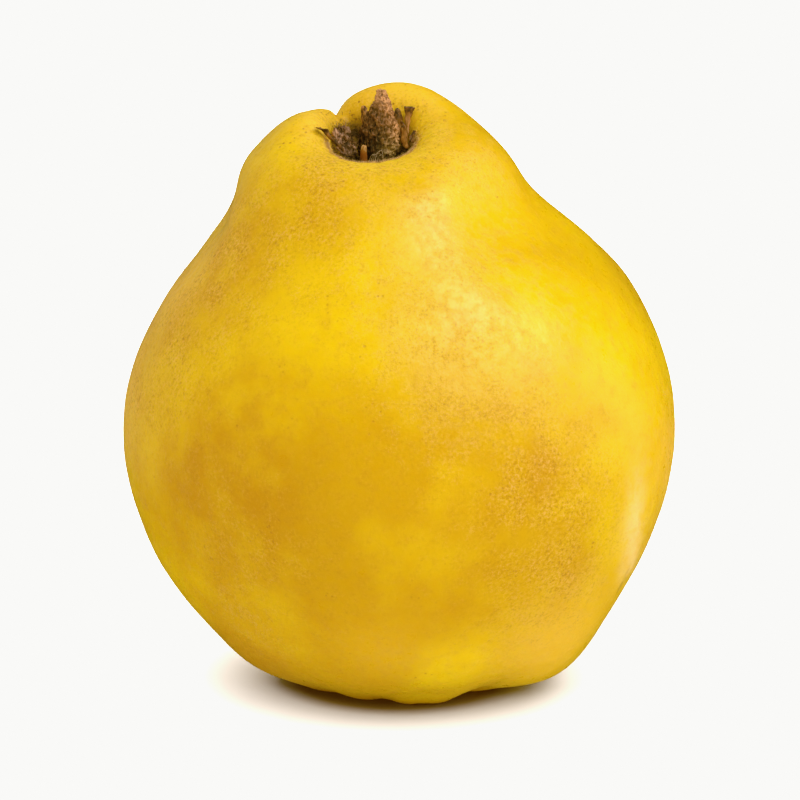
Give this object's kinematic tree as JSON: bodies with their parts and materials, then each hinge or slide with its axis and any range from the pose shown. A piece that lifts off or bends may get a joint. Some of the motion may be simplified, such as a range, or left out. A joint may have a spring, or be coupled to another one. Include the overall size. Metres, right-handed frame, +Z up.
{
  "type": "quince",
  "caption": "Whole ripe quince standing on its calyx end: a knobbly yellow pome with a lobed neck, a woody stem stub in its pit and a dried calyx underneath.",
  "frame": {"origin": "on the surface the fruit stands on, under the middle of its bounding box", "axes": "+Z up, from the calyx end to the stem end; -Y towards the side seen in the picture; +X to the right in that view"},
  "size_m": [0.0878, 0.0872, 0.096],
  "materials": {
    "fruit_skin": "satin",
    "stem_wood": "matte",
    "dry_bract": "matte",
    "amber_bud": "matte",
    "pale_fibre": "matte",
    "dry_scale": "matte",
    "dry_sepal": "matte"
  },
  "bodies": {
    "root": {"fruit": "fruit_skin", "stem_stub": "stem_wood", "bract_far_left": "dry_bract", "bract_back_left": "dry_bract", "bract_right_inner": "dry_bract", "bract_right_outer": "dry_bract", "bud_peg": "amber_bud", "stipule_curl": "pale_fibre", "bud_scale": "dry_scale", "stipule_right": "dry_scale", "stipule_rim": "dry_scale", "sepal_1": "dry_sepal", "sepal_2": "dry_sepal", "sepal_3": "dry_sepal", "sepal_4": "dry_sepal", "sepal_5": "dry_sepal", "stamens": "dry_bract", "styles": "dry_sepal"}
  },
  "joints": []
}
